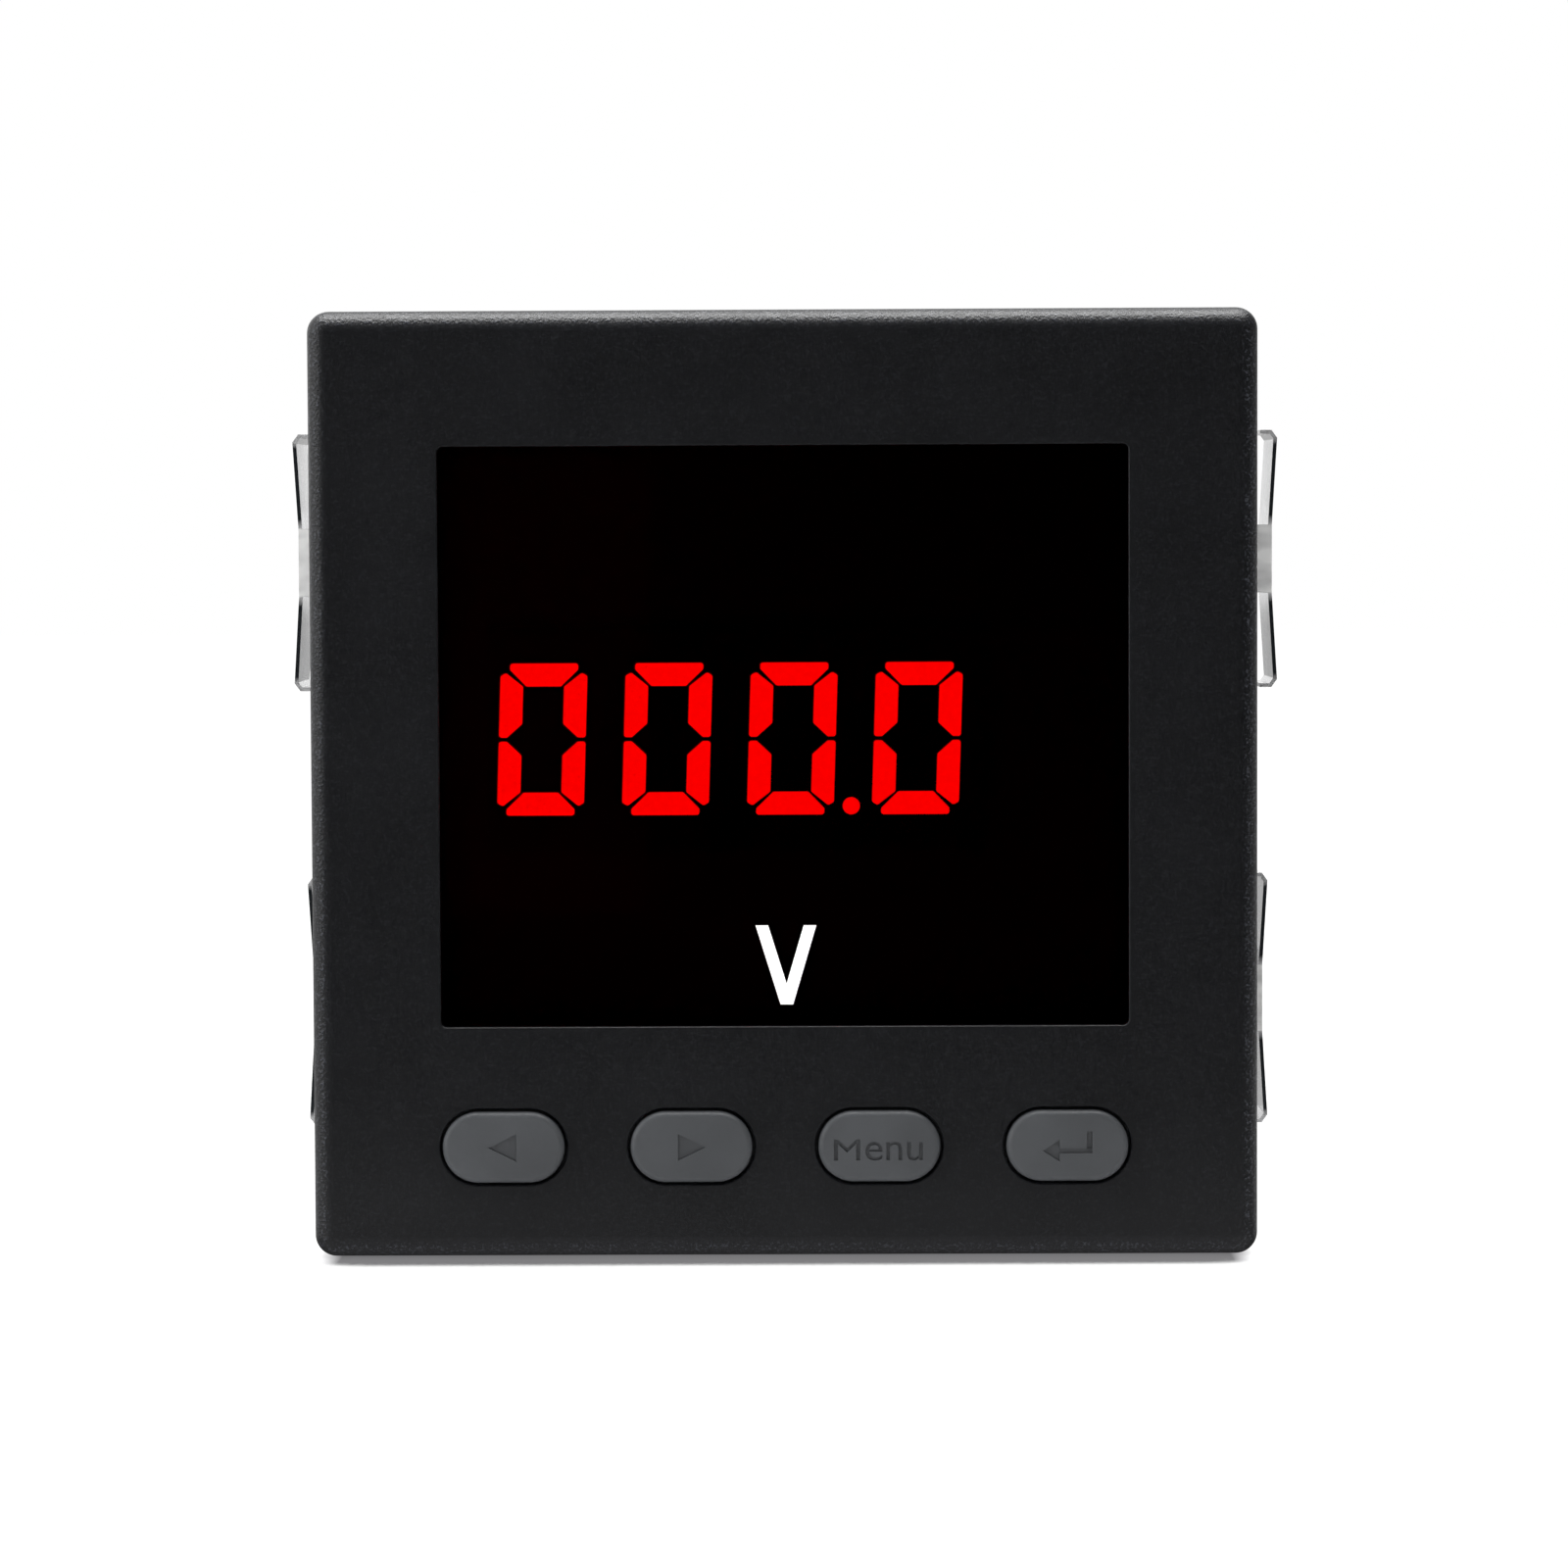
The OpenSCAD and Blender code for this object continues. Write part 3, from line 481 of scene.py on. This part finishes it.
def smooth(piece, angle):
    """Smooth shading that keeps edges past the angle sharp and leaves the large faces flat."""
    only(piece)
    bpy.ops.object.shade_smooth_by_angle(angle=math.radians(angle))
    modifier = piece.modifiers.new("normals", "WEIGHTED_NORMAL")
    modifier.keep_sharp = True
    modifier.weight = 100
    bpy.ops.object.modifier_apply(modifier=modifier.name)
    return piece


def finished(piece, slot, body, *nodes):
    """Gives the piece its material and its body, and hides the nodes it stands for."""
    piece.data.materials.clear()
    piece.data.materials.append(FINISHES[slot])
    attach(piece, body)
    if nodes:
        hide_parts(*nodes)
    return piece


def dressed(node, width, segments=2, split=False):
    """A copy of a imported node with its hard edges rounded, standing for it. With split, its hollow faces
    are parted first, as the rounding tears some large ones."""
    source = frame["nodes"][node]
    piece = source.copy()
    piece.data = source.data.copy()
    piece.parent = None
    for key in list(piece.keys()):
        del piece[key]
    piece.name = node + "_dressed"
    bpy.context.scene.collection.objects.link(piece)
    only(piece)
    bpy.ops.object.mode_set(mode="EDIT")
    bpy.ops.mesh.select_all(action="SELECT")
    bpy.ops.mesh.remove_doubles(threshold=0.002 * MM)
    bpy.ops.mesh.dissolve_limited(angle_limit=math.radians(2))
    if split:
        bpy.ops.mesh.select_all(action="SELECT")
        bpy.ops.mesh.vert_connect_concave()
    bpy.ops.object.mode_set(mode="OBJECT")
    soften(piece, width, segments)
    return finished(piece, SLOT_OF[node], BODY_OF[node], node)


# ---- bezel, in millimetres -----------------------------------------------

FRONT = box_of("bezel")[0].y
BEZEL = box_of("bezel")[1].x
WALL = FRONT + 2.4  # the rear of the face
CORNER = 2.2
EDGE_ROUND = 1.5
RIM_ROUND = 0.18
REAR_ROUND = 0.2
POCKET = 45.3  # half the room for the case
MOUTH = 45.85  # half the wider mouth of that room
MOUTH_DEPTH = 1.2
LENS_RIM = 2.5
WINDOW_CORNER = 0.6
KEY_GAP = 0.3
POST_AT = 39.1
POST_RADIUS = 2.75
PILOT_RADIUS = 1.15


def window_opening():
    """Left, bottom, right and top of the window, from the lens, whose rim lies behind the face."""
    low, high = box_of("window_lens")
    return low.x + LENS_RIM, low.z + LENS_RIM, high.x - LENS_RIM, high.z - LENS_RIM


def key_cap_box(name):
    """Middle, half width, half height and top of a key's cap, from its node, whose rim is wider."""
    rim = 0.95
    low, high = box_of("key_" + name)
    return (low + high) / 2, (high.x - low.x) / 2 - rim, (high.z - low.z) / 2 - rim, low.y


def is_front_rim(first, second):
    """The edges of the window and the key holes on the face, and not the face's own outline."""
    inside = BEZEL - EDGE_ROUND - 0.5
    return lies_at_y(FRONT)(first, second) and max(abs(first.x), abs(first.z)) < inside


def make_bezel():
    piece = rounded_block("bezel_shell", (-BEZEL, FRONT, -BEZEL), (BEZEL, 0, BEZEL), CORNER, 12)
    bevel(piece, lies_at_y(FRONT), EDGE_ROUND, 10)
    bevel(piece, lies_at_y(0), REAR_ROUND, 3)
    left, bottom, right, top = window_opening()
    window = rounded_block("window", (left, FRONT - 1, bottom), (right, WALL + 1, top), WINDOW_CORNER, 6)
    join_solid(piece, window, "DIFFERENCE")
    for name in KEYS:
        middle, half_w, half_h, _ = key_cap_box(name)
        hole = pill("hole", middle.x, middle.z, half_w + KEY_GAP, half_h + KEY_GAP, FRONT - 1, WALL + 1)
        join_solid(piece, hole, "DIFFERENCE")
    for half, start in ((POCKET, WALL), (MOUTH, -MOUTH_DEPTH)):
        hollow = rounded_block("hollow", (-half, start, -half), (half, 2, half), 2, 6)
        join_solid(piece, hollow, "DIFFERENCE")
    bevel(piece, is_front_rim, RIM_ROUND, 4)
    for x in (POST_AT, -POST_AT):
        for z in (POST_AT, -POST_AT):
            post = round_bar("post", x, z, POST_RADIUS, WALL - 0.5, 2, sides=40)
            join_solid(post, round_bar("pilot", x, z, PILOT_RADIUS, -5, 3, sides=24), "DIFFERENCE")
            join_solid(piece, post, "UNION")
    smooth(piece, 40)
    return finished(piece, "case_black", METER, "bezel")


# ---- keys, in millimetres ------------------------------------------------

SIGN_DEPTH = 0.26
CROWN_ROUND = 0.62
STALK_RADIUS = 2


def letters(text, width, height, middle):
    """Text as a cutter of that width and height, that faces the front."""
    bpy.ops.object.select_all(action="DESELECT")
    bpy.ops.object.text_add()
    piece = bpy.context.object
    piece.name = "sign"
    piece.data.body = text
    piece.data.extrude = 1.0
    piece.data.resolution_u = 6
    bpy.ops.object.convert(target="MESH")
    piece = bpy.context.object
    piece.rotation_euler = (math.pi / 2, 0, 0)
    settle(piece)
    low, high = box_of_mesh(piece)
    wanted = Vector((width, 2 * SIGN_DEPTH, height)) * MM
    piece.scale = [wanted[axis] / (high[axis] - low[axis]) for axis in range(3)]
    settle(piece)
    low, high = box_of_mesh(piece)
    piece.location = Vector(middle) * MM - (low + high) / 2
    settle(piece)
    bpy.ops.object.mode_set(mode="EDIT")
    bpy.ops.mesh.select_all(action="SELECT")
    bpy.ops.mesh.remove_doubles(threshold=0.0005 * MM)
    bpy.ops.mesh.normals_make_consistent(inside=False)
    bpy.ops.object.mode_set(mode="OBJECT")
    return piece


def arrow_head(tip_x, z, width, height, level):
    """A three-sided prism whose point looks along X: to the left if the width is negative."""
    bpy.ops.object.select_all(action="DESELECT")
    bpy.ops.mesh.primitive_cylinder_add(vertices=3, radius=1, depth=2 * SIGN_DEPTH * MM)
    piece = bpy.context.object
    piece.name = "head"
    piece.rotation_euler = (math.pi / 2, math.pi / 2, 0)
    settle(piece)
    tips = sum(1 for corner in piece.data.vertices if corner.co.x > 0)
    if (tips < 3) != (width > 0):
        piece.rotation_euler = (0, math.pi, 0)
        settle(piece)
    low, high = box_of_mesh(piece)
    piece.scale = (abs(width) * MM / (high.x - low.x), 1, height * MM / (high.z - low.z))
    settle(piece)
    low, high = box_of_mesh(piece)
    tip = high.x if width > 0 else low.x
    piece.location = (tip_x * MM - tip, level * MM, z * MM - (low.z + high.z) / 2)
    return settle(piece)


def sign_cutters(name, x, z, level):
    """Cutters for the sign sunk in each key, placed from the key's middle."""
    front, floor = level - SIGN_DEPTH, level + SIGN_DEPTH
    if name == "left":
        return [arrow_head(x - 1.5, z, -2.8, 2.8, level)]
    if name == "right":
        return [arrow_head(x + 1.45, z, 2.8, 2.7, level)]
    if name == "menu":
        return [letters("M", 2.65, 2.15, (x - 3.27, level, z - 0.32)),
                letters("enu", 5.8, 1.9, (x + 1.5, level, z - 0.45))]
    stem = block("stem", (x - 1.2, front, z - 0.72), (x + 2.5, floor, z - 0.22))
    rise = block("rise", (x + 1.95, front, z - 0.22), (x + 2.5, floor, z + 1.5))
    return [stem, rise, arrow_head(x - 2.5, z - 0.47, -1.7, 2.2, level)]


def make_key(name):
    middle, half_w, half_h, top = key_cap_box(name)
    low, high = box_of("key_" + name)
    x, z = middle.x, middle.z
    cap = pill("key_cap_" + name, x, z, half_w, half_h, top, WALL + 0.6)
    bevel(cap, lies_at_y(top), CROWN_ROUND, 8)
    for cutter in sign_cutters(name, x, z, top):
        join_solid(cap, cutter, "DIFFERENCE")
    rim = pill("rim", x, z, (high.x - low.x) / 2, (high.z - low.z) / 2, WALL + 0.5, WALL + 1.3)
    join_solid(cap, rim, "UNION")
    join_solid(cap, round_bar("stalk", x, z, STALK_RADIUS, WALL + 1, high.y, sides=32), "UNION")
    smooth(cap, 25)
    return finished(cap, "key_grey", name + "_key", "key_" + name)


# ---- window, in millimetres ----------------------------------------------


def make_unit_letter():
    """The white unit letter printed on the lens: two leaning strokes that meet in a flat foot."""
    ink = 0.03
    top, foot, stroke = -14.22, -22.25, 1.27
    left, right, foot_left = -2.92, 3.23, -0.42
    face = box_of("window_lens")[0].y
    strokes = []
    for start in (left, right - stroke):
        bar = block("unit_letter", (start, face - ink, foot), (start + stroke, face + ink, top))
        shift_corners(bar, lambda corner: corner.z < foot + 1, (foot_left - start, 0, 0))
        strokes.append(bar)
    piece = join_solid(*strokes, "UNION")
    smooth(piece, 30)
    return finished(piece, "printed_white", METER)


# ---- case, terminals and fasteners, in millimetres -----------------------

POLES = 8
TERMINAL_HEAD = 3.2
COVER_HEAD = 2.7


def cut_slots(piece, places, top, half_long, half_wide, depth):
    """Sinks a cross slot into every screw head, each turned its own way."""
    turn_of_each = 37
    for way in (0, 90):
        bars = []
        for count, (x, z) in enumerate(places):
            bar = block("slot", (-half_long, top - depth, -half_wide), (half_long, top + 1, half_wide))
            bar.rotation_euler = (0, math.radians(way + turn_of_each * count), 0)
            bar.location = Vector((x, 0, z)) * MM
            bars.append(settle(bar))
        bpy.ops.object.select_all(action="DESELECT")
        for bar in bars:
            bar.select_set(True)
        bpy.context.view_layer.objects.active = bars[0]
        bpy.ops.object.join()
        join_solid(piece, bars[0], "DIFFERENCE")
    smooth(piece, 40)


def make_terminal_screws():
    high = box_of("terminal_screws")[1]
    far_x, far_z = high.x - TERMINAL_HEAD, high.z - TERMINAL_HEAD
    places = [(far_x * (2 * pole / (POLES - 1) - 1), row * far_z)
              for pole in range(POLES) for row in (1, -1)]
    cut_slots(dressed("terminal_screws", 0.35, 3), places, high.y, 2.35, 0.42, 0.9)


def make_cover_screws():
    high = box_of("cover_screws")[1]
    at = high.x - COVER_HEAD
    places = [(x, z) for x in (-at, at) for z in (-at, at)]
    cut_slots(dressed("cover_screws", 0.35, 3), places, high.y, 1.6, 0.36, 1.1)


def make_case():
    dressed("housing", 0.2, split=True)
    for node in ("rear_cover", "terminal_block_upper", "terminal_block_lower"):
        dressed(node, 0.2)
    for name in CLIPS:
        clip = dressed("clip_" + name, 0.05)
        if "lower" in name:
            clip.data.materials[0] = FINISHES["spring_steel_lower"]
    make_terminal_screws()
    make_cover_screws()
    dressed("terminal_washers", 0.12)


def give_material(node):
    """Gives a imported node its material. Its own mesh stays."""
    piece = frame["nodes"][node]
    piece.data.materials.clear()
    piece.data.materials.append(FINISHES[SLOT_OF[node]])


# ---- studio, in metres ---------------------------------------------------

CAMERA_PLACE = Vector((4.5, -500, 25.74)) * MM
CAMERA_AIM = Vector((0.03, -10, 0.13)) * MM
CAMERA_LENS = 111.5
CAMERA_ROLL = -0.0047


def make_camera():
    data = bpy.data.cameras.new("camera")
    data.lens = CAMERA_LENS
    data.sensor_width = 36
    data.clip_start = 0.01
    camera = bpy.data.objects.new("camera", data)
    bpy.context.scene.collection.objects.link(camera)
    ahead = (CAMERA_AIM - CAMERA_PLACE).normalized()
    right = ahead.cross(Vector((0, 0, 1))).normalized()
    up = right.cross(ahead)
    turn = Matrix((right, up, -ahead)).transposed().to_4x4()
    camera.matrix_world = Matrix.Translation(CAMERA_PLACE) @ turn @ Matrix.Rotation(CAMERA_ROLL, 4, "Z")
    bpy.context.scene.camera = camera


def make_floor():
    """Plain paper that reads white to the camera, with a contact shadow of the object painted into its glow
    from an occlusion test, bluish and only across the bezel's width, over a faint lamp shadow. Mirrors see
    it grey in front of the bezel and lighter behind it."""
    bpy.ops.object.select_all(action="DESELECT")
    bpy.ops.mesh.primitive_plane_add(size=6, location=(0, 0, cad_box[0][2]))
    floor = bpy.context.object
    floor.name = "floor"
    f = Finish("floor_white")
    paper = f.blend(f.noise(30 * MM, 2.0), rgba(0.86, 0.86, 0.86), rgba(0.88, 0.88, 0.88))
    # painted shadow: occlusion within 8 mm, only across the bezel's width, sets how far the floor's glow is
    # darkened
    shelter = f.node("ShaderNodeAmbientOcclusion", {"samples": 12}, WHITE, 8 * MM, out=1)
    under_bezel = f.span(f.maths("ABSOLUTE", f.part_of_place("X")), 0.0452, 0.0475, 1.0, 0.0)
    lit = 1 - (1 - f.span(shelter, 0.8336, 0.9045, 0.19, 1.0)) * under_bezel
    seen = f.ray("Is Camera Ray")
    glossy = f.ray("Is Glossy Ray")
    through = f.ray("Is Transmission Ray")
    along = f.part_of_place("Y")
    before = f.span(along, -0.1, -0.03, 0.0, 0.42) * f.span(along, -0.0096, -0.0082, 1.0, 0.0)
    behind = f.span(along, -0.009, 0.0, 0.0, 0.55)
    # the glow carries the painted contact shadow and tints it bluish
    glow = f.node("ShaderNodeEmission", {}, f.blend(lit, rgba(0.97, 0.955, 1), WHITE),
                  lit * seen * 0.92 + f.maths("MAXIMUM", glossy * (before + behind), through))
    # for the camera the paper's own shading is mostly blended out, and darkened further in the painted
    # shadow
    unlit = f.maths("MAXIMUM", seen * (1 - lit * 0.25), glossy)
    matt = f.node("ShaderNodeBsdfDiffuse", {}, f.blend(unlit, paper, BLACK))
    floor.data.materials.append(f.ends_in(f.node("ShaderNodeAddShader", {}, matt, glow)))


def make_world():
    """White to the camera. Mirrors see it dark straight in front and on the right."""
    plain_level = 0.55
    world = bpy.data.worlds.new("studio")
    bpy.context.scene.world = world
    f = Finish("studio", world, "ShaderNodeOutputWorld")
    way = f.node("ShaderNodeTexCoord", {}, out="Generated")
    soft_step = {"interpolation_type": "SMOOTHSTEP"}
    front = f.node("ShaderNodeMapRange", soft_step, f.node("ShaderNodeSeparateXYZ", {}, way, out="Y"),
                   -0.6, 0.35, 0.01, 1.0)
    right = f.node("ShaderNodeMapRange", soft_step, f.node("ShaderNodeSeparateXYZ", {}, way, out="X"),
                   0.25, 0.7, 1.0, 0.08)
    seen = f.ray("Is Camera Ray")
    mirror = f.maths("MAXIMUM", f.ray("Is Glossy Ray"), f.ray("Is Transmission Ray"))
    level = seen + (1 - seen) * (mirror * front * right + (1 - mirror) * plain_level)
    f.ends_in(f.node("ShaderNodeBackground", {}, WHITE, level))


def area_lamp(name, place, aim, width, height, power, mirrored=True):
    data = bpy.data.lights.new(name, "AREA")
    data.shape = "RECTANGLE"
    data.size = width
    data.size_y = height
    data.energy = power
    lamp = bpy.data.objects.new(name, data)
    bpy.context.scene.collection.objects.link(lamp)
    lamp.visible_glossy = mirrored
    lamp.location = place
    lamp.rotation_euler = (Vector(aim) - Vector(place)).to_track_quat("-Z", "Y").to_euler()


def make_lamps():
    area_lamp("overhead", (0.0, 0.05, 0.75), (0, 0.05, 0), 0.9, 0.4, 11)
    area_lamp("left_softbox", (-0.9, -0.3, 0.25), (0, 0, 0), 0.6, 0.7, 2.4)
    area_lamp("low_front", (-0.15, -0.42, -0.02), (-0.02, 0, -0.045), 0.25, 0.12, 0.42, mirrored=False)


# ---- build ---------------------------------------------------------------

bpy.context.scene.view_settings.view_transform = "Standard"
make_camera()
make_bezel()
for key in KEYS:
    make_key(key)
dressed("window_lens", 0.12, 3)
make_unit_letter()
make_case()
for each in frame["nodes"]:
    give_material(each)
make_floor()
make_world()
make_lamps()
